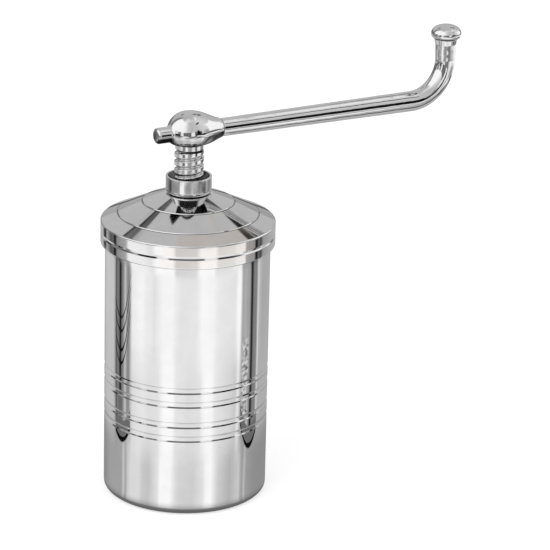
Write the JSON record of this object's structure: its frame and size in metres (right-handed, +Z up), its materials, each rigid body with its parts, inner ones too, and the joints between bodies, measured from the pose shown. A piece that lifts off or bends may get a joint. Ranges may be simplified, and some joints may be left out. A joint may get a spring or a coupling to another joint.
{
  "type": "sev press",
  "caption": "Hand-cranked press: an upright round barrel with a perforated plate in its mouth, a conical screwed lid, and a drive screw with a bent crank that feeds a piston.",
  "frame": {"origin": "middle of the ring that the barrel stands on, at the foot of the barrel", "axes": "+Z up along the drive screw's axis, +X along the crank arm at rest"},
  "size_m": [0.174, 0.076, 0.1971],
  "materials": {
    "barrel_steel": "polished stainless steel",
    "lid_steel": "polished stainless steel, spun",
    "collar_steel": "polished stainless steel, turned",
    "screw_steel": "polished rolled thread",
    "cast_steel": "polished stainless casting",
    "rod_steel": "polished stainless rod",
    "knob_steel": "polished stainless steel",
    "sheet_steel": "satin stainless sheet",
    "nut_steel": "turned stainless steel",
    "washer_brass": "turned brass"
  },
  "bodies": {
    "barrel": {"barrel": "barrel_steel", "die_plate": "sheet_steel"},
    "lid": {"lid": "lid_steel", "drive_nut": "collar_steel", "collar_washer": "sheet_steel", "collar_back_nut": "nut_steel"},
    "piston": {"piston_cup": "sheet_steel", "piston_bush": "nut_steel"},
    "crank": {"spindle": "screw_steel", "crank_hub": "cast_steel", "crank_arm": "rod_steel", "grip_knob": "knob_steel", "thrust_washer": "washer_brass", "retaining_washer": "nut_steel", "retaining_nut": "nut_steel"}
  },
  "joints": [
    {"name": "lid_lift", "type": "slide", "parent": "barrel", "child": "lid", "axis": [0, 0, 1], "range_m": [0, 0.13]},
    {"name": "piston_feed", "type": "slide", "parent": "lid", "child": "piston", "axis": [0, 0, 1], "range_m": [-0.0144, 0.0963]},
    {"name": "crank_turn", "type": "hinge", "parent": "piston", "child": "crank", "pos_m": [0, 0, 0.1637], "axis": [0, 0, 1], "range_deg": [-1428, 9540]}
  ],
  "couplings": [
    {"joint": "piston_feed", "follows": "crank_turn", "m_per_rad": 0.00057773}
  ]
}
